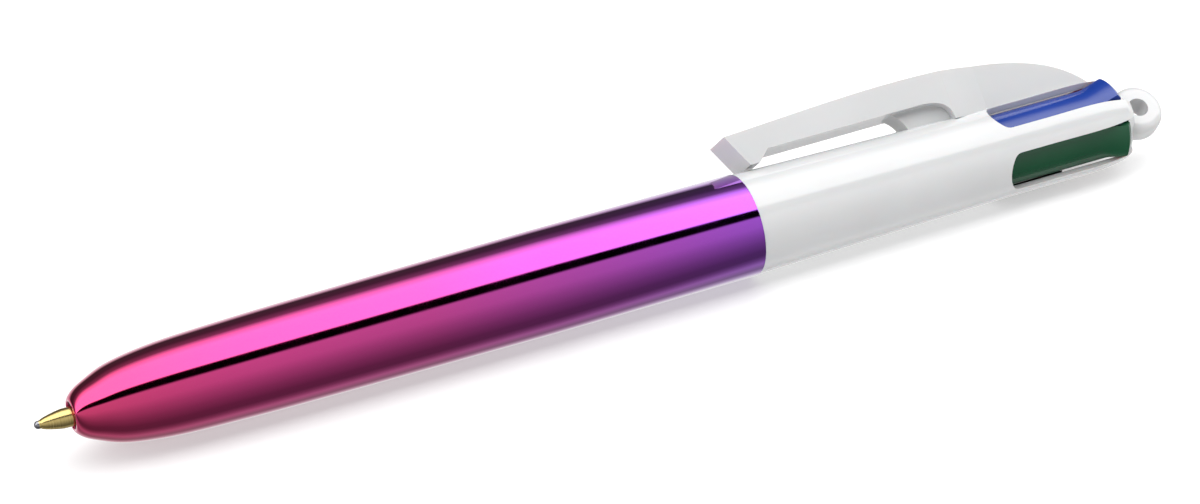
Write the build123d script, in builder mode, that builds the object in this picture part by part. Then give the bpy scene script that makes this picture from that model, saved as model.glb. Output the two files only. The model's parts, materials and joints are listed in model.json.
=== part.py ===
from build123d import *
import os
from math import asin, cos, degrees, radians, sin, sqrt

os.makedirs("parts", exist_ok=True)

# Four-colour click pen, in millimetres.
# The X axis is the pen's axis: X = 0 is the joint between the two barrels, the writing
# end points to -X and the lanyard ring to +X. Angles turn about X, from +Y towards +Z.

# ---------------------------------------------------------------- driving dimensions
# lower barrel
barrel_radius = 6.5  # at the joint
lower_length = 87.8  # joint to nose rim
lower_wall = 0.85
nose_wall = 0.8
nose_rim_radius = 2.05
rim_roll = 0.15
tip_hole_radius = 1.65
tip_hole_length = 1.3
grip_length = 27.0  # true cylinder in front of the joint
# (distance behind the rim, distance inside the barrel's radius)
nose_shape = [(1.1, 3.45), (2.4, 2.8), (5.1, 1.75), (10.5, 0.88), (21.0, 0.42)]

# upper barrel
flush_step = 0.1  # the upper barrel is this much smaller in radius
rear_radius = 5.75  # at the slots
bore_radius = 4.95
body_length = 53.0  # joint to the end of the ribs
rib_width = 3.4
rib_end_drop = 0.5  # how far the ribs curve in at their end
rib_curve_length = 11.0
slot_front = 36.2  # joint to the slots
slot_bulge = 1.2  # the slot's front edge bows forward by this
slot_corner = 1.3

# threaded neck of the upper barrel, inside the lower barrel
neck_length = 8.0
neck_clearance = 0.1
neck_wall = 1.0
thread_depth = 0.35
thread_pitch = 1.5
thread_count = 4

# refill guide, seated on the step at the root of the neck
guide_seat = 4.0
guide_thickness = 1.5
guide_clearance = 0.05

# clip, moulded with the upper barrel
clip_width = 5.8
clip_root_width = 3.2
clip_tail_width = 2.4
clip_height = 4.4  # outer edge above the barrel at the toe
clip_crown = 0.9  # further rise of the outer edge at its highest point
clip_thickness = 3.6  # at the arch
clip_gap = 1.6  # arm to barrel, behind the foot
clip_foot_gap = 0.12
clip_foot_length = 1.3
clip_toe_slope = 2.2
clip_toe = 0.3  # joint to the tip of the toe
clip_arch = 26.5
clip_crest = 31.0
clip_crotch = 31.0
clip_tail = 51.2
clip_web_width = 3.2  # the web that closes the arch, set in from the sides
clip_web_top = 22.3
clip_web_foot = 24.9
clip_web_bow = 0.8
clip_root_skin = 0.3  # the root stops this short of the bore

# pushers
pusher_clearance = 0.15
pusher_front = 22.5  # front face when retracted
pusher_edge = 1.3
pusher_bevel = 0.25
thumb_length = 4.0
thumb_height = 0.9
thumb_round = 0.5
web_width = 2.6
travel = 8.5
stop_gap = 0.2
peg_radius = 0.85
peg_length = 3.0

# end cap with the lanyard ring and the guide post
cap_thickness = 2.0
cap_waist_radius = 4.0  # behind the pushers
cap_neck_radius = 2.4  # where the ring starts
post_size = 3.4
post_round = 0.4
post_front = 25.0
ring_radius = 3.4
ring_thickness = 3.4
ring_overhang = 6.8  # rib ends to the end of the ring
lanyard_hole_radius = 1.3
ring_round = 1.1
hole_round = 0.9

# refills
tube_radius = 1.35
tube_bore_radius = 1.0
tip_out = 4.6  # what stands out of the nose when a colour is in use
retracted_tip_offset = 2.7  # retracted ball to the pen's axis
tip_radius = 1.2
tip_exposed = 10.0
tip_cone_length = 3.4
tip_nose_radius = 0.46
tip_stem_length = 4.0
ink_channel_radius = 0.3
ball_radius = 0.5
ball_proud = 0.3
socket_clearance = 0.02
sliding_fit = 0.15
ink_clearance = 0.02
seat_gap = 0.1
refill_side_gap = 0.7  # tube to the bore, with room for the spring
ink_head_gap = 1.5  # peg to the ink

# springs
wire_radius = 0.14
spring_coils = 8

# layout
cutter_overrun = 1.0  # how far a cutting shape runs past what it cuts

# angle of each colour's slot
colours = {"blue": 90, "green": 180, "red": 0, "black": 270}
colour_in_use = "black"
clip_angle = 45
ring_angle = 30  # the plane that the ring lies in

# ---------------------------------------------------------------- worked-out sizes
upper_radius = barrel_radius - flush_step
lower_bore = barrel_radius - lower_wall
neck_radius = lower_bore - neck_clearance
neck_bore = neck_radius - neck_wall
rib_half_angle = degrees(asin(rib_width / 2 / rear_radius))
slot_half_angle = 180 / len(colours) - rib_half_angle
slot_half_width = rear_radius * sin(radians(slot_half_angle))
pusher_radius = bore_radius - pusher_clearance
pusher_half_width = slot_half_width - pusher_clearance
pusher_base = slot_half_width
pusher_rear = body_length - stop_gap
web_base = post_size / 2 + pusher_clearance
refill_circle = bore_radius - tube_radius - refill_side_gap
spring_radius = tube_radius + sliding_fit + wire_radius
ball_tip_out = -lower_length - tip_out
ball_tip_in = ball_tip_out + travel
refill_length = sqrt(
    (pusher_front - ball_tip_in) ** 2 + (refill_circle - retracted_tip_offset) ** 2
)
ring_centre = body_length + ring_overhang - ring_radius


def along(angle):
    """The plane through the pen's axis: x along the pen, y outwards at the angle."""
    turn = radians(angle)
    return Plane(origin=(0, 0, 0), x_dir=(1, 0, 0), z_dir=(0, -sin(turn), cos(turn)))


def across(station, angle=90):
    """The plane square to the pen's axis, with its y outwards at the angle."""
    turn = radians(angle)
    return Plane(origin=(station, 0, 0), x_dir=(0, sin(turn), -cos(turn)), z_dir=(1, 0, 0))


def outside(angle):
    """The plane facing outwards at the angle, with its x along the pen."""
    turn = radians(angle)
    return Plane(origin=(0, 0, 0), x_dir=(1, 0, 0), z_dir=(0, cos(turn), sin(turn)))


def refill_plane(colour):
    """Starts at the pusher's front face and looks down the refill to its ball."""
    in_use = colour == colour_in_use
    start = pusher_front - travel if in_use else pusher_front
    end_offset = 0 if in_use else retracted_tip_offset
    tilt = asin((refill_circle - end_offset) / refill_length)
    out_y, out_z = cos(radians(colours[colour])), sin(radians(colours[colour]))
    return Plane(
        origin=(start, refill_circle * out_y, refill_circle * out_z),
        x_dir=(sin(tilt), -out_y * cos(tilt), -out_z * cos(tilt)),
        z_dir=(-cos(tilt), -out_y * sin(tilt), -out_z * sin(tilt)),
    )


# ---------------------------------------------------------------- lower barrel
# The coloured front half: a turned shell with a blunt nose, open at the rear.
rim = -lower_length
outer_points = [(rim + back, barrel_radius - inset) for back, inset in nose_shape]
inner_points = [(x + nose_wall, r - nose_wall) for x, r in outer_points]

with BuildPart() as lower_barrel:
    with BuildSketch(along(90)):
        with BuildLine():
            Line((rim, tip_hole_radius), (rim, nose_rim_radius))
            Spline((rim, nose_rim_radius), *outer_points, tangents=[(0.12, 1), (1, 0.02)])
            Polyline(
                outer_points[-1], (-grip_length, barrel_radius), (0, barrel_radius),
                (0, lower_bore), (-grip_length, lower_bore), inner_points[-1],
            )
            Spline(*reversed(inner_points), (rim + tip_hole_length, tip_hole_radius))
            Line((rim + tip_hole_length, tip_hole_radius), (rim, tip_hole_radius))
        make_face()
    revolve(axis=Axis.X)
    # the rim round the tip hole is rolled
    rim_edges = lower_barrel.edges().filter_by(GeomType.CIRCLE).group_by(Axis.X)[0]
    fillet(rim_edges, radius=rim_roll)
lower_barrel.part.label = "lower_barrel"
export_step(lower_barrel.part, "parts/lower_barrel.step")

# ---------------------------------------------------------------- upper barrel
# The white rear half, with its threaded neck, four open slots and the moulded clip.
arm_inner = upper_radius + clip_gap
arm_outer = upper_radius + clip_height
crown = arm_outer + clip_crown
foot = upper_radius + clip_foot_gap
arch_height = crown - clip_thickness
root_depth = bore_radius + clip_root_skin
rib_curve = body_length - rib_curve_length
rib_end_radius = rear_radius - rib_end_drop
slot_end = body_length + cutter_overrun
foot_start = clip_toe + clip_toe_slope
foot_end = foot_start + clip_foot_length
web_height = arch_height + clip_root_skin
web_end = clip_crotch + clip_root_skin

# the clip seen from the side, narrowed towards its root
with BuildPart() as clip:
    with BuildSketch(along(clip_angle)):
        with BuildLine():
            Spline(
                (clip_toe, arm_outer), (clip_crest, crown), (clip_tail, root_depth),
                tangents=[(1, 0.05), (1, -1.2)],
            )
            Line((clip_tail, root_depth), (clip_crotch, root_depth))
            Spline(
                (clip_crotch, root_depth), (clip_arch, arch_height),
                tangents=[(0, 1), (-1, 0)],
            )
            Polyline(
                (clip_arch, arch_height), (foot_end + clip_gap, arm_inner),
                (foot_end, foot), (foot_start, foot), (clip_toe, arm_outer),
            )
        make_face()
    extrude(amount=clip_width / 2, both=True)
    with BuildSketch(outside(clip_angle)):
        with BuildLine():
            half_plan = Polyline(
                (clip_toe, 0), (clip_toe, clip_width / 2), (clip_crest, clip_width / 2),
                (slot_front, clip_root_width / 2), (clip_tail, clip_tail_width / 2), (clip_tail, 0),
            )
            mirror(half_plan, about=Plane.XZ)
        make_face()
    extrude(amount=crown + clip_thickness, mode=Mode.INTERSECT)
    # web
    with BuildSketch(along(clip_angle)):
        with BuildLine():
            ThreePointArc(
                (clip_web_top, web_height),
                ((clip_web_top + clip_web_foot) / 2 + clip_web_bow, (web_height + root_depth) / 2),
                (clip_web_foot, root_depth),
            )
            Polyline(
                (clip_web_foot, root_depth), (web_end, root_depth), (web_end, web_height),
                (clip_web_top, web_height),
            )
        make_face()
    extrude(amount=clip_web_width / 2, both=True)

with BuildPart() as upper_barrel:
    with BuildSketch(along(90)):
        with BuildLine():
            Polyline(
                (body_length, rib_end_radius), (body_length, 0), (0, 0), (0, upper_radius),
                (slot_front, rear_radius), (rib_curve, rear_radius),
            )
            Spline(
                (rib_curve, rear_radius), (body_length, rib_end_radius),
                tangents=[(1, 0), (1, -0.25)],
            )
        make_face()
    revolve(axis=Axis.X)
    add(clip.part)
    # main bore, behind the guide's seat, and the narrower bore in front of it
    with BuildSketch(across(guide_seat)):
        Circle(bore_radius)
    extrude(amount=body_length, mode=Mode.SUBTRACT)
    with BuildSketch(across(0)):
        Circle(neck_radius)
    extrude(amount=-neck_length)
    with BuildSketch(across(-neck_length)):
        Circle(neck_bore)
    extrude(amount=neck_length + guide_seat, mode=Mode.SUBTRACT)
    # slots, open to the rear, with a bowed front edge
    for angle in colours.values():
        with BuildSketch(outside(angle)) as slot:
            with BuildLine():
                bow = ThreePointArc(
                    (slot_front, -slot_half_width), (slot_front - slot_bulge, 0),
                    (slot_front, slot_half_width),
                )
                Polyline(
                    bow @ 1, (slot_end, slot_half_width), (slot_end, -slot_half_width), bow @ 0,
                )
            make_face()
            fillet(slot.vertices().group_by(Axis.X)[0], radius=slot_corner)
        extrude(amount=crown + clip_thickness, mode=Mode.SUBTRACT)
    # thread grooves round the neck
    for turn in range(thread_count):
        with BuildSketch(across(-neck_length + thread_pitch * (turn + 0.5))):
            Circle(neck_radius)
            Circle(neck_radius - thread_depth, mode=Mode.SUBTRACT)
        extrude(amount=thread_pitch / 2, mode=Mode.SUBTRACT)
upper_barrel.part.label = "upper_barrel"
export_step(upper_barrel.part, "parts/upper_barrel.step")

# ---------------------------------------------------------------- end cap
# Closes the rear, carries the lanyard ring, and has the post that the pushers ride on.
ring_axis = Axis((ring_centre, 0, 0), along(ring_angle).z_dir)
with BuildPart() as ring:
    with BuildSketch(outside(ring_angle + 180)) as ring_section:
        with Locations((ring_centre + lanyard_hole_radius, 0)):
            Rectangle(
                ring_radius - lanyard_hole_radius, ring_thickness,
                align=(Align.MIN, Align.CENTER),
            )
        corners = ring_section.vertices().group_by(Axis.X)
        fillet(corners[-1], radius=ring_round)
        fillet(corners[0], radius=hole_round)
    revolve(axis=ring_axis)

with BuildPart() as end_cap:
    with BuildSketch(along(90)):
        with BuildLine():
            shoulder = Spline(
                (body_length, rib_end_radius), (body_length + cap_thickness, cap_neck_radius),
                tangents=[(1, -0.25), (0.6, -1)],
            )
            Polyline(
                shoulder @ 1, (body_length + cap_thickness, 0), (body_length, 0), shoulder @ 0,
            )
        make_face()
    revolve(axis=Axis.X)
    # the rim is cut away behind each pusher, so that the ribs run on into the cap
    for angle in colours.values():
        with BuildSketch(along(angle)):
            with BuildLine():
                Polyline(
                    (body_length, cap_waist_radius), (body_length, bore_radius + cap_thickness),
                    (body_length + cap_thickness, bore_radius + cap_thickness),
                    (body_length + cap_thickness, cap_neck_radius), close=True,
                )
            make_face()
        extrude(amount=slot_half_width, both=True, mode=Mode.SUBTRACT)
    # the ring's hole stays open through the cap
    add(ring.part)
    with BuildSketch(along(ring_angle)):
        with Locations((ring_centre, 0)):
            Circle(lanyard_hole_radius)
    extrude(amount=ring_thickness, both=True, mode=Mode.SUBTRACT)
    # post
    with BuildSketch(across(post_front)):
        RectangleRounded(post_size, post_size, post_round)
    extrude(amount=body_length - post_front)
end_cap.part.label = "end_cap"
export_step(end_cap.part, "parts/end_cap.step")

# ---------------------------------------------------------------- refill guide
# A disc with one hole for each refill, pressed against the step by the springs.
def offset_at(colour, station):
    """How far a refill's axis is from the pen's axis at a station."""
    plane = refill_plane(colour)
    down = (station - plane.origin.X) / plane.z_dir.X
    point = plane.origin + plane.z_dir * down
    return sqrt(point.Y ** 2 + point.Z ** 2)


guide_middle = guide_seat + guide_thickness / 2
idle_offset = offset_at("blue", guide_middle)
in_use_offset = offset_at(colour_in_use, guide_middle)
guide_hole_circle = (idle_offset + in_use_offset) / 2
guide_hole_radius = tube_radius + sliding_fit + (idle_offset - in_use_offset) / 2

with BuildPart() as refill_guide:
    with BuildSketch(across(guide_seat)):
        Circle(bore_radius - guide_clearance)
        with PolarLocations(guide_hole_circle, len(colours)):
            Circle(guide_hole_radius, mode=Mode.SUBTRACT)
    extrude(amount=guide_thickness)
refill_guide.part.label = "refill_guide"
export_step(refill_guide.part, "parts/refill_guide.step")

# ---------------------------------------------------------------- pushers
# Each fills its slot with a rounded back, has a thumb lip at the rear, and runs on the
# post by a web that also carries the refill's peg.
thumb_radius = pusher_radius + thumb_height
back_half_width = pusher_half_width - pusher_bevel
blank_top = thumb_radius + cutter_overrun

for colour, angle in colours.items():
    shift = -travel if colour == colour_in_use else 0
    front, rear = pusher_front + shift, pusher_rear + shift
    thumb_start = rear - thumb_length
    with BuildPart() as pusher:
        # turned outline of the back: level, then swept up into the lip
        with BuildSketch(along(angle)):
            with BuildLine():
                Polyline(
                    (rear, thumb_radius - thumb_round), (rear, 0), (front, 0),
                    (front, pusher_radius), (thumb_start, pusher_radius),
                )
                Spline(
                    (thumb_start, pusher_radius), (rear - thumb_round, thumb_radius),
                    tangents=[(1, 0), (1, 0.2)],
                )
                Line((rear - thumb_round, thumb_radius), (rear, thumb_radius - thumb_round))
            make_face()
        revolve(axis=Axis.X)
        # trimmed to the slot's width, with bevelled sides, and to the web below
        with BuildSketch(across(front, angle)):
            with BuildLine():
                half = Polyline(
                    (0, web_base), (web_width / 2, web_base), (web_width / 2, pusher_base),
                    (pusher_half_width, pusher_base), (pusher_half_width, pusher_base + pusher_edge),
                    (back_half_width, pusher_base + pusher_edge + pusher_bevel),
                    (back_half_width, blank_top), (0, blank_top),
                )
                mirror(half, about=Plane.YZ)
            make_face()
        extrude(amount=rear - front, mode=Mode.INTERSECT)
        with BuildSketch(across(front, angle)):
            with Locations((0, refill_circle)):
                Circle(peg_radius)
        extrude(amount=-peg_length)
    pusher.part.label = "pusher_" + colour
    export_step(pusher.part, "parts/pusher_" + colour + ".step")

# ---------------------------------------------------------------- refills
# All four are the same: tube, ink, brass tip and ball, each turned about its own axis.
tube_end = refill_length - tip_exposed
cone_start = refill_length - tip_cone_length
ball_centre = refill_length - ball_radius
tip_front = refill_length - ball_proud
ink_start = peg_length + ink_head_gap
ink_end = tube_end - tip_stem_length - seat_gap

for colour in colours:
    axis_plane = refill_plane(colour)
    with BuildPart() as tube:
        with BuildSketch(axis_plane.offset(seat_gap)):
            Circle(tube_radius)
            Circle(tube_bore_radius, mode=Mode.SUBTRACT)
        extrude(amount=tube_end - seat_gap)
    tube.part.label = "refill_tube_" + colour
    export_step(tube.part, "parts/refill_tube_" + colour + ".step")

    with BuildPart() as ink:
        with BuildSketch(axis_plane.offset(ink_start)):
            Circle(tube_bore_radius - ink_clearance)
        extrude(amount=ink_end - ink_start)
    ink.part.label = "ink_" + colour
    export_step(ink.part, "parts/ink_" + colour + ".step")

    with BuildPart() as tip:
        with BuildSketch(axis_plane.offset(tube_end - tip_stem_length)):
            Circle(tube_bore_radius - ink_clearance)
        extrude(amount=tip_stem_length + seat_gap)
        with BuildSketch(axis_plane.offset(tube_end + seat_gap / 2)):
            Circle(tip_radius)
        extrude(amount=cone_start - tube_end - seat_gap / 2)
        with BuildSketch(axis_plane.offset(cone_start)):
            Circle(tip_radius)
        with BuildSketch(axis_plane.offset(tip_front)):
            Circle(tip_nose_radius)
        loft()
        with BuildSketch(axis_plane.offset(tube_end - tip_stem_length)):
            Circle(ink_channel_radius)
        extrude(amount=refill_length, mode=Mode.SUBTRACT)
        with Locations(axis_plane.offset(ball_centre)):
            Sphere(ball_radius + socket_clearance, mode=Mode.SUBTRACT)
    tip.part.label = "refill_tip_" + colour
    export_step(tip.part, "parts/refill_tip_" + colour + ".step")

    with BuildPart() as ball:
        with Locations(axis_plane.offset(ball_centre)):
            Sphere(ball_radius)
    ball.part.label = "refill_ball_" + colour
    export_step(ball.part, "parts/refill_ball_" + colour + ".step")

    # return spring, between the guide and the pusher's front face
    guide_face = (axis_plane.origin.X - guide_seat - guide_thickness) / -axis_plane.z_dir.X
    spring_start = seat_gap + wire_radius
    spring_length = guide_face - 2 * spring_start
    with BuildPart() as spring:
        with BuildLine():
            coil = Helix(
                pitch=spring_length / spring_coils, height=spring_length, radius=spring_radius,
                center=axis_plane.from_local_coords((0, 0, spring_start)), direction=axis_plane.z_dir,
            )
        with BuildSketch(Plane(origin=coil @ 0, z_dir=coil % 0)):
            Circle(wire_radius)
        sweep()
    spring.part.label = "spring_" + colour
    export_step(spring.part, "parts/spring_" + colour + ".step")
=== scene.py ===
"""Looks of the four-colour click pen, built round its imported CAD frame."""

import json
from math import cos, pi, radians, sin

import bpy
from mathutils import Matrix, Vector


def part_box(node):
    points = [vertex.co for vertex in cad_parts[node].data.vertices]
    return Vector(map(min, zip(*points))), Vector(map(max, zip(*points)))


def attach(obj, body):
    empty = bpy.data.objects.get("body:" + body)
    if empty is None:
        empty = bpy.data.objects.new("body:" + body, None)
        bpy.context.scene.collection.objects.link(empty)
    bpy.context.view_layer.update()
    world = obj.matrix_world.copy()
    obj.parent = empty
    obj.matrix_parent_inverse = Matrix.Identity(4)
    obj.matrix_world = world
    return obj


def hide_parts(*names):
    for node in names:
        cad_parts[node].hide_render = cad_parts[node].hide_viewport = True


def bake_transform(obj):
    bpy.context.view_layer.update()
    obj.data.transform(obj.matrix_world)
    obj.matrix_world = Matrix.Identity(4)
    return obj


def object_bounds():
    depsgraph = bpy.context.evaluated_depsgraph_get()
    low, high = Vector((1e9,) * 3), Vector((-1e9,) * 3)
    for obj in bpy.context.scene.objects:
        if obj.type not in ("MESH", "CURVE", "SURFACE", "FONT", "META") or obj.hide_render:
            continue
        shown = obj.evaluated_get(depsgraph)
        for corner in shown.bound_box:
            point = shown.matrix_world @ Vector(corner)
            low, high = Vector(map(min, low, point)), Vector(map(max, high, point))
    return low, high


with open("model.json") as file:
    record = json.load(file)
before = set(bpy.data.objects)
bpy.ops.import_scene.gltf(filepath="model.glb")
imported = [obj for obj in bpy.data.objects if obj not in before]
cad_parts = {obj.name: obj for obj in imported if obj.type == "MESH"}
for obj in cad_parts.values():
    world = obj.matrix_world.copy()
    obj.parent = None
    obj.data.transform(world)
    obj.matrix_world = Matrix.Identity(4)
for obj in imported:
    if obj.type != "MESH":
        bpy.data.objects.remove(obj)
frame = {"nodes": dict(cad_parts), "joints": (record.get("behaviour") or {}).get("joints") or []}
cad_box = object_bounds()
nodes = frame["nodes"]
MM = 0.001
COLOURS = ("blue", "green", "red", "black")

# ---------------------------------------------------------------- node helpers


def new_material(name):
    material = bpy.data.materials.new(name)
    material.use_nodes = True
    tree = material.node_tree
    return material, tree, tree.nodes["Principled BSDF"]


def node(tree, kind, **settings):
    made = tree.nodes.new(kind)
    for key, value in settings.items():
        setattr(made, key, value)
    return made


def object_place(tree):
    """A point's place in the row frame, in metres, so that no pattern depends on UVs."""
    return node(tree, "ShaderNodeTexCoord").outputs["Object"]


def noise(tree, vector, scale, detail=3.0, rough=0.5, stretch=None):
    if stretch:
        mapping = node(tree, "ShaderNodeMapping")
        mapping.inputs["Scale"].default_value = stretch
        tree.links.new(vector, mapping.inputs["Vector"])
        vector = mapping.outputs["Vector"]
    made = node(tree, "ShaderNodeTexNoise")
    made.inputs["Scale"].default_value = scale
    made.inputs["Detail"].default_value = detail
    made.inputs["Roughness"].default_value = rough
    tree.links.new(vector, made.inputs["Vector"])
    return made.outputs["Fac"]


def ramp(tree, value, stops):
    made = node(tree, "ShaderNodeValToRGB")
    elements = made.color_ramp.elements
    while len(elements) < len(stops):
        elements.new(0.5)
    for element, (place, colour) in zip(elements, stops):
        element.position = place
        element.color = (*colour, 1)
    tree.links.new(value, made.inputs["Fac"])
    return made.outputs["Color"]


def remap(tree, value, low, high, to_low, to_high):
    made = node(tree, "ShaderNodeMapRange")
    limits = {"From Min": low, "From Max": high, "To Min": to_low, "To Max": to_high}
    for name, number in limits.items():
        made.inputs[name].default_value = number
    tree.links.new(value, made.inputs["Value"])
    return made.outputs["Result"]


def bump(tree, shader, height, strength, distance):
    made = node(tree, "ShaderNodeBump")
    made.inputs["Strength"].default_value = strength
    made.inputs["Distance"].default_value = distance
    tree.links.new(height, made.inputs["Height"])
    tree.links.new(made.outputs["Normal"], shader.inputs["Normal"])


# ---------------------------------------------------------------- materials


def moulded_plastic(name, colour, shade, rough=(0.10, 0.2), subsurface=0.0, coat=0.35):
    """Glossy injection moulding: faint flow marks in the colour, fine orange peel."""
    material, tree, shader = new_material(name)
    place = object_place(tree)
    cloud = noise(tree, place, 90, 4, 0.55)
    tree.links.new(ramp(tree, cloud, [(0.3, colour), (0.75, shade)]), shader.inputs["Base Color"])
    wear = noise(tree, place, 700, 5, 0.6)
    tree.links.new(remap(tree, wear, 0.3, 0.75, *rough), shader.inputs["Roughness"])
    bump(tree, shader, noise(tree, place, 450, 3, 0.5), 0.05, 0.0001)
    shader.inputs["Specular IOR Level"].default_value = 0.55
    shader.inputs["Coat Weight"].default_value = coat
    shader.inputs["Coat Roughness"].default_value = 0.06
    if subsurface:
        shader.inputs["Subsurface Weight"].default_value = subsurface
        shader.inputs["Subsurface Scale"].default_value = 0.002
    return material


def metallised_barrel():
    """Vacuum-metallised plastic: a mirror whose tint runs from crimson to violet."""
    material, tree, shader = new_material("metallised_barrel")
    place = object_place(tree)
    split = node(tree, "ShaderNodeSeparateXYZ")
    tree.links.new(place, split.inputs["Vector"])
    low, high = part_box("lower_barrel")
    along = remap(tree, split.outputs["X"], low.x, high.x, 0.0, 1.0)
    tint = ramp(tree, along, [
        (0.0, (0.60, 0.022, 0.13)),
        (0.22, (0.57, 0.024, 0.20)),
        (0.50, (0.50, 0.028, 0.25)),
        (0.72, (0.41, 0.036, 0.37)),
        (1.0, (0.31, 0.050, 0.57)),
    ])
    tree.links.new(tint, shader.inputs["Base Color"])
    haze = noise(tree, place, 260, 4, 0.6)
    tree.links.new(remap(tree, haze, 0.3, 0.75, 0.05, 0.11), shader.inputs["Roughness"])
    bump(tree, shader, noise(tree, place, 35, 2, 0.5, stretch=(0.25, 1, 1)), 0.06, 0.0004)
    shader.inputs["Metallic"].default_value = 1.0
    shader.inputs["Coat Weight"].default_value = 0.8
    shader.inputs["Coat Roughness"].default_value = 0.03
    return material


def turned_metal(name, colour, shade, rough):
    """Lathe-turned metal: fine rings round the pen's axis."""
    material, tree, shader = new_material(name)
    place = object_place(tree)
    rings = noise(tree, place, 1.0, 3, 0.6, stretch=(9000, 120, 120))
    tree.links.new(ramp(tree, rings, [(0.25, shade), (0.7, colour)]), shader.inputs["Base Color"])
    tree.links.new(remap(tree, rings, 0.2, 0.8, *rough), shader.inputs["Roughness"])
    bump(tree, shader, rings, 0.12, 0.00005)
    shader.inputs["Metallic"].default_value = 1.0
    return material


def clear_tube():
    """Extruded polypropylene: milky, nearly clear."""
    material, tree, shader = new_material("clear_tube")
    place = object_place(tree)
    lines = noise(tree, place, 1.0, 3, 0.5, stretch=(60, 2500, 2500))
    milk = ramp(tree, lines, [(0.3, (0.86, 0.89, 0.90)), (0.7, (0.95, 0.97, 0.97))])
    tree.links.new(milk, shader.inputs["Base Color"])
    tree.links.new(remap(tree, lines, 0.3, 0.7, 0.12, 0.24), shader.inputs["Roughness"])
    shader.inputs["Transmission Weight"].default_value = 0.75
    shader.inputs["IOR"].default_value = 1.3
    return material


def ink_paste(name, colour, shade):
    material, tree, shader = new_material(name)
    place = object_place(tree)
    swirl = noise(tree, place, 300, 5, 0.6, stretch=(0.4, 1, 1))
    tree.links.new(ramp(tree, swirl, [(0.3, colour), (0.8, shade)]), shader.inputs["Base Color"])
    tree.links.new(remap(tree, swirl, 0.3, 0.8, 0.25, 0.4), shader.inputs["Roughness"])
    return material


def dress(name, material):
    """Gives a CAD piece one material all over."""
    mesh = nodes[name].data
    mesh.materials.clear()
    mesh.materials.append(material)
    mesh.polygons.foreach_set("material_index", [0] * len(mesh.polygons))


# ---------------------------------------------------------------- mesh helpers


def new_piece(name, points, faces, materials, body, indices=None):
    mesh = bpy.data.meshes.new(name)
    mesh.from_pydata([tuple(p) for p in points], [], faces)
    for material in materials:
        mesh.materials.append(material)
    if indices:
        mesh.polygons.foreach_set("material_index", indices)
    mesh.polygons.foreach_set("use_smooth", [True] * len(mesh.polygons))
    mesh.set_sharp_from_angle(angle=radians(38))
    mesh.update()
    made = bpy.data.objects.new(name, mesh)
    bpy.context.scene.collection.objects.link(made)
    if body:
        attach(made, body)
    return made


def smooth_path(points, steps=8):
    """A Catmull-Rom curve through the points, so that turned outlines have no corners."""
    padded = [Vector(points[0]) * 2 - Vector(points[1])] + [Vector(p) for p in points]
    padded.append(padded[-1] * 2 - padded[-2])
    path = []
    for before, start, end, after in zip(padded, padded[1:], padded[2:], padded[3:]):
        steps_between = ((before, start), (start, end), (end, after))
        spans = [max((b - a).length, 1e-9) ** 0.5 for a, b in steps_between]
        leave = (
            (start - before) / spans[0] - (end - before) / (spans[0] + spans[1])
            + (end - start) / spans[1]
        )
        reach = (
            (end - start) / spans[1] - (after - start) / (spans[1] + spans[2])
            + (after - end) / spans[2]
        )
        leave, reach = leave * spans[1], reach * spans[1]
        for step in range(steps):
            t = step / steps
            path.append(
                start * (2 * t ** 3 - 3 * t ** 2 + 1) + leave * (t ** 3 - 2 * t ** 2 + t)
                + end * (3 * t ** 2 - 2 * t ** 3) + reach * (t ** 3 - t ** 2)
            )
    path.append(Vector(points[-1]))
    return path


def lathe(name, profile, origin, direction, materials, body, segments=128, choose=None):
    """Turns a closed profile of (distance in mm, radius in mm) about a line."""
    spin = Vector((1, 0, 0)).rotation_difference(direction)
    points, faces, indices = [], [], []
    count = len(profile)
    for segment in range(segments):
        angle = 2 * pi * segment / segments
        for x, r in profile:
            points.append(origin + spin @ Vector((x, r * cos(angle), r * sin(angle))) * MM)
    for segment in range(segments):
        here, there = segment * count, (segment + 1) % segments * count
        for i in range(count):
            j = (i + 1) % count
            if profile[i][1] < 1e-6 and profile[j][1] < 1e-6:
                continue
            faces.append((here + i, there + i, there + j, here + j))
            indices.append(choose(profile[i], profile[j]) if choose else 0)
    return new_piece(name, points, faces, materials, body, indices)


def coil(name, start, end, radius, wire, turns, material, body):
    """A compression spring with closed ends, wound about the line from start to end."""
    along = end - start
    length = along.length / MM
    spin = Vector((1, 0, 0)).rotation_difference(along)
    steps, sides = 28, 8
    closed = 1.0  # turns at each end that lie nearly flat
    rise = 2.2 * wire  # how far a closed turn climbs
    total = turns + 2 * closed
    points, faces = [], []
    rings = int(total * steps)
    for ring in range(rings + 1):
        turn = ring / steps
        if turn < closed:
            x = wire + rise * turn / closed
        elif turn > total - closed:
            x = length - wire - rise * (total - turn) / closed
        else:
            x = wire + rise + (length - 2 * (wire + rise)) * (turn - closed) / turns
        angle = 2 * pi * turn
        for side in range(sides):
            around = 2 * pi * side / sides
            r = radius + wire * cos(around)
            place = Vector((x + wire * sin(around), r * cos(angle), r * sin(angle)))
            points.append(start + spin @ place * MM)
    for ring in range(rings):
        for side in range(sides):
            a, b = ring * sides + side, ring * sides + (side + 1) % sides
            faces.append((a, b, b + sides, a + sides))
    faces.append(tuple(range(sides)))
    faces.append(tuple(rings * sides + side for side in reversed(range(sides))))
    return new_piece(name, points, faces, [material], body)


def soften(name, width):
    """Breaks a moulded CAD piece's sharp edges."""
    bevel = nodes[name].modifiers.new("softened_edges", "BEVEL")
    bevel.width = width * MM
    bevel.segments = 3
    bevel.limit_method = "ANGLE"
    bevel.angle_limit = radians(35)


# ---------------------------------------------------------------- pieces

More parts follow.
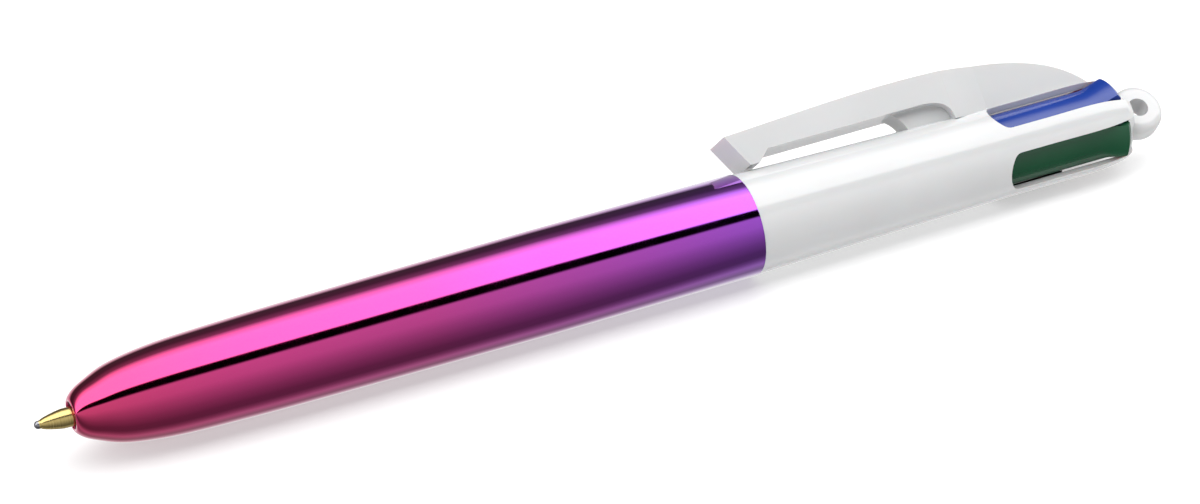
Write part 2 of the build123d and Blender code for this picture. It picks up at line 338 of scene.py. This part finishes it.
PLASTICS = {
    "blue": ((0.006, 0.038, 0.27), (0.005, 0.030, 0.22)),
    "green": ((0.003, 0.062, 0.024), (0.002, 0.047, 0.018)),
    "red": ((0.60, 0.010, 0.018), (0.48, 0.007, 0.012)),
    "black": ((0.010, 0.010, 0.012), (0.016, 0.016, 0.018)),
}
INKS = {
    "blue": ((0.006, 0.012, 0.20), (0.010, 0.020, 0.28)),
    "green": ((0.0, 0.08, 0.03), (0.0, 0.12, 0.05)),
    "red": ((0.28, 0.002, 0.006), (0.38, 0.004, 0.010)),
    "black": ((0.004, 0.004, 0.005), (0.010, 0.010, 0.012)),
}
# millimetres
BARREL_WALL = 0.85
TIP_HOLE_LENGTH = 1.3
THREAD_TURNS, THREAD_PITCH, THREAD_START, THREAD_DEPTH = 4, 1.5, 2.0, 0.28
BARREL_EDGE, PUSHER_EDGE = 0.22, 0.12
SPRING_TURNS, SPRING_RADIUS, SPRING_WIRE, SPRING_GAP = 8, 1.64, 0.14, 0.05

white = moulded_plastic("white_moulding", (0.57, 0.575, 0.58), (0.545, 0.55, 0.555), subsurface=0.1)
core = moulded_plastic("barrel_core", (0.30, 0.05, 0.16), (0.24, 0.04, 0.13), (0.3, 0.45))
brass = turned_metal("turned_brass", (0.66, 0.51, 0.21), (0.43, 0.32, 0.11), (0.14, 0.30))
carbide = turned_metal("carbide_ball", (0.30, 0.30, 0.32), (0.21, 0.21, 0.23), (0.12, 0.25))
wire = turned_metal("spring_wire", (0.72, 0.72, 0.74), (0.55, 0.55, 0.57), (0.18, 0.35))
tube = clear_tube()


def lower_barrel():
    low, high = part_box("lower_barrel")
    nose, length = low.x / MM, (high.x - low.x) / MM
    radius = high.z / MM
    bore = radius - BARREL_WALL
    outer = smooth_path([
        (0.0, 1.98), (0.08, 2.15), (0.45, 2.56), (1.1, 3.05), (2.4, 3.7), (5.1, 4.75),
        (10.5, 5.62), (21.0, 6.08), (36.0, 6.30), (60.0, radius),
    ])
    inner = smooth_path([
        (60.0, bore), (36.0, bore - 0.15), (21.8, 5.3), (11.3, 4.85), (5.9, 4.02), (3.2, 2.98),
        (1.95, 2.3), (1.4, 1.65),
    ], 5)
    threads = []
    crest = bore - THREAD_DEPTH
    for turn in range(THREAD_TURNS):
        ridge = length - THREAD_START - THREAD_PITCH * turn
        threads += [(ridge, bore), (ridge - 0.2, crest), (ridge - 0.5, crest), (ridge - 0.7, bore)]
    profile = [(0.22, 1.65), (0.06, 1.70), (0.0, 1.78), (0.0, 1.90)]
    profile += [tuple(p) for p in outer]
    profile += [(length - 0.12, radius), (length - 0.03, radius - 0.04), (length, radius - 0.12)]
    profile += [(length, bore + 0.15), (length - 0.15, bore)]
    profile += threads + [tuple(p) for p in inner]
    profile = [(nose + x, r) for x, r in profile]

    def lining(a, b):
        inside = (a[1] + b[1]) / 2 < bore + 0.01 and a[0] > b[0]
        return 1 if inside and a[0] > nose + TIP_HOLE_LENGTH else 0

    made = lathe(
        "lower_barrel_shell", profile, Vector((0, 0, 0)), Vector((1, 0, 0)),
        [metallised_barrel(), core], "lower_barrel", 192, lining,
    )
    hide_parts("lower_barrel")


def refill(colour):
    """The brass tip and the return spring, on the refill's own slightly tilted axis."""
    hinge = next(j for j in frame["joints"] if j["name"] == colour + "_refill_tilt")
    top = Vector(hinge["pos_m"])
    low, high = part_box("refill_ball_" + colour)
    ball = (low + high) / 2
    forward = (ball - top).normalized()
    profile = [
        (0.20, 0.0), (0.20, 0.40), (0.12, 0.465), (-0.06, 0.495), (-0.30, 0.515), (-0.36, 0.57),
        (-0.42, 0.62), (-0.9, 0.78), (-1.5, 0.93), (-2.1, 1.06), (-2.6, 1.145), (-2.86, 1.185),
        (-2.95, 1.2), (-7.2, 1.2), (-7.25, 1.13), (-7.5, 1.13), (-7.55, 1.2), (-9.40, 1.2),
        (-9.49, 1.12), (-9.5, 0.975), (-13.4, 0.975), (-13.4, 0.0),
    ]
    tip = lathe(
        "brass_tip_" + colour, profile, ball, forward, [brass], "refill_" + colour, 72,
    )
    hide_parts("refill_tip_" + colour)
    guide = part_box("refill_guide")[1].x
    start = top + forward * ((top.x - guide) / -forward.x)
    along = start - top
    near = top + along * (1 - SPRING_GAP * MM / along.length)
    far = top + forward * SPRING_GAP * MM
    spring = coil(
        "coil_" + colour, near, far, SPRING_RADIUS, SPRING_WIRE, SPRING_TURNS, wire, None,
    )
    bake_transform(spring)
    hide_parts("spring_" + colour)


lower_barrel()
for name in ("upper_barrel", "end_cap"):
    dress(name, white)
    soften(name, BARREL_EDGE)
guide_colours = (0.78, 0.78, 0.76), (0.72, 0.72, 0.70)
dress("refill_guide", moulded_plastic("guide_moulding", *guide_colours, (0.25, 0.4)))
for colour in COLOURS:
    dress("pusher_" + colour, moulded_plastic(colour + "_moulding", *PLASTICS[colour], coat=0.15))
    soften("pusher_" + colour, PUSHER_EDGE)
    dress("ink_" + colour, ink_paste(colour + "_ink", *INKS[colour]))
    dress("refill_ball_" + colour, carbide)
    dress("refill_tube_" + colour, tube)
    refill(colour)

# ---------------------------------------------------------------- floor, light, camera

ROLL = radians(4.5)  # the pen lies turned by this about its own axis


def pen_roll(vector):
    """Turns a direction about the pen's axis."""
    x, y, z = vector
    return Vector((x, y * cos(ROLL) - z * sin(ROLL), y * sin(ROLL) + z * cos(ROLL)))


def floor():
    size = 3.0
    z = cad_box[0][2] - 0.00005
    mesh = bpy.data.meshes.new("floor")
    corners = [(-size, -size, z), (size, -size, z), (size, size, z), (-size, size, z)]
    mesh.from_pydata(corners, [], [(0, 1, 2, 3)])
    made = bpy.data.objects.new("floor", mesh)
    bpy.context.scene.collection.objects.link(made)
    material, tree, shader = new_material("white_table")
    fibre = noise(tree, object_place(tree), 160, 5, 0.6)
    paper = ramp(tree, fibre, [(0.3, (0.56, 0.56, 0.56)), (0.7, (0.59, 0.59, 0.59))])
    tree.links.new(paper, shader.inputs["Base Color"])
    shader.inputs["Roughness"].default_value = 0.6
    shader.inputs["Specular IOR Level"].default_value = 0.15
    shader.inputs["Emission Color"].default_value = (1, 1, 1, 1)
    shader.inputs["Emission Strength"].default_value = 0.46
    mesh.materials.append(material)
    made.visible_glossy = False  # the pen mirrors the softboxes, not the table


# how bright the studio is in each direction round the pen: degrees from level behind the
# pen (0), over the top (90), to level in front (180) and down to the table's side (-180 to 0)
STUDIO = [
    (-180, 0.58), (-157, 0.34), (-136, 0.19), (-122, 0.17), (-112, 0.30), (-98, 0.62),
    (-80, 0.36), (-60, 0.75), (-30, 1.0), (-6, 1.0), (8, 0.07), (30, 0.10), (46, 0.34),
    (58, 1.9), (70, 2.9), (115, 2.9), (117, 0.0), (133, 0.0), (137, 0.95), (160, 0.85),
    (180, 0.58),
]


def studio():
    """A soft white studio whose bands of light and dark run along the pen."""
    world = bpy.data.worlds.new("studio")
    world.use_nodes = True
    bpy.context.scene.world = world
    tree = world.node_tree
    tree.nodes.clear()
    direction = node(tree, "ShaderNodeTexCoord").outputs["Generated"]
    split = node(tree, "ShaderNodeSeparateXYZ")
    tree.links.new(direction, split.inputs["Vector"])
    turn = node(tree, "ShaderNodeMath", operation="ARCTAN2")
    tree.links.new(split.outputs["Z"], turn.inputs[0])
    tree.links.new(split.outputs["Y"], turn.inputs[1])
    round_pen = remap(tree, turn.outputs["Value"], -pi, pi, 0.0, 1.0)
    peak = max(level for _, level in STUDIO)
    stops = [((angle + 180) / 360, (level / peak,) * 3) for angle, level in STUDIO]
    bands = ramp(tree, round_pen, stops)
    light = node(tree, "ShaderNodeBackground")
    light.inputs["Strength"].default_value = peak
    tree.links.new(bands, light.inputs["Color"])
    plain = node(tree, "ShaderNodeBackground")
    plain.inputs["Color"].default_value = (1, 1, 1, 1)
    plain.inputs["Strength"].default_value = 1.0
    ray = node(tree, "ShaderNodeLightPath")
    mix = node(tree, "ShaderNodeMixShader")
    tree.links.new(ray.outputs["Is Camera Ray"], mix.inputs[0])
    tree.links.new(light.outputs[0], mix.inputs[1])
    tree.links.new(plain.outputs[0], mix.inputs[2])
    out = node(tree, "ShaderNodeOutputWorld")
    tree.links.new(mix.outputs[0], out.inputs["Surface"])
    bpy.context.scene.view_settings.view_transform = "Standard"


def camera():
    azimuth, elevation = radians(-24.97), radians(37.33)
    distance = 0.4995
    width_seen = 0.14714
    back = pen_roll((sin(azimuth) * cos(elevation), -cos(azimuth) * cos(elevation), sin(elevation)))
    up = pen_roll((-sin(azimuth) * sin(elevation), cos(azimuth) * sin(elevation), cos(elevation)))
    right = pen_roll((cos(azimuth), sin(azimuth), 0))
    target = Vector((-19.0 * MM, 0, 0)) - right * 0.51 * MM + up * 1.51 * MM
    data = bpy.data.cameras.new("camera")
    data.sensor_width = 36.0
    data.lens = data.sensor_width * distance / width_seen
    data.clip_start = 0.01
    made = bpy.data.objects.new("camera", data)
    made.location = target + back * distance
    made.rotation_euler = Matrix((right, up, back)).transposed().to_euler()
    bpy.context.scene.collection.objects.link(made)
    bpy.context.scene.camera = made


floor()
studio()
camera()
